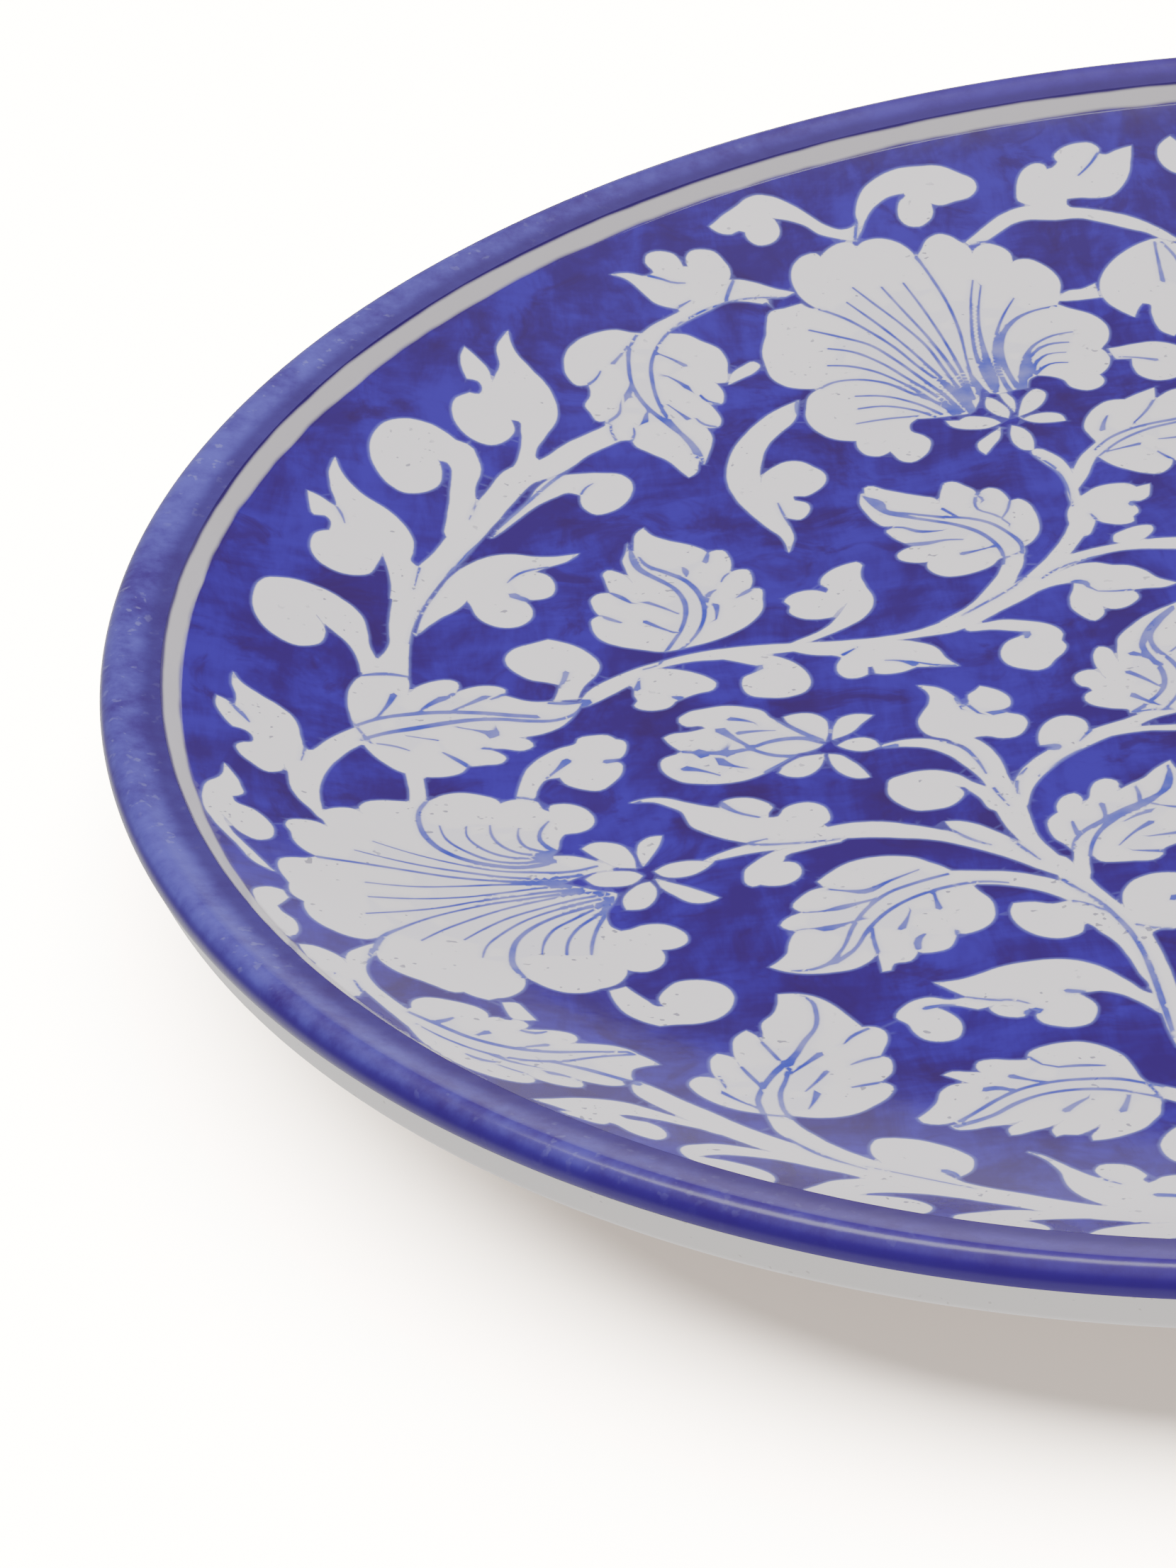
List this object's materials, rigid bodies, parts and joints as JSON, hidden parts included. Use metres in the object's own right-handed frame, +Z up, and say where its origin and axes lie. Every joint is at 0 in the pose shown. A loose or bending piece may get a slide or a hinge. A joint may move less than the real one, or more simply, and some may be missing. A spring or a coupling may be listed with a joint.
{
  "type": "dinner plate",
  "caption": "Round shallow ceramic plate with a turned foot ring, a raised rounded lip and a cobalt blue field of white leaves and flowers.",
  "frame": {"origin": "centre of the foot ring's resting face, on the table", "axes": "+Z up, the axis the plate turns about; the painted face looks along +Z"},
  "size_m": [0.3048, 0.3048, 0.027],
  "materials": {
    "biscuit_clay": "unglazed matt clay",
    "bare_foot_clay": "unglazed matt clay, worn",
    "painted_glaze": "glossy cobalt underglaze painting with white motifs",
    "band_glaze": "glossy streaky cobalt band",
    "white_glaze": "glossy off-white glaze"
  },
  "bodies": {
    "root": {"plate_body": "biscuit_clay", "foot_ring": "bare_foot_clay", "face_glaze": "painted_glaze", "rim_glaze": "band_glaze", "back_glaze": "white_glaze", "recess_glaze": "white_glaze"}
  },
  "joints": []
}
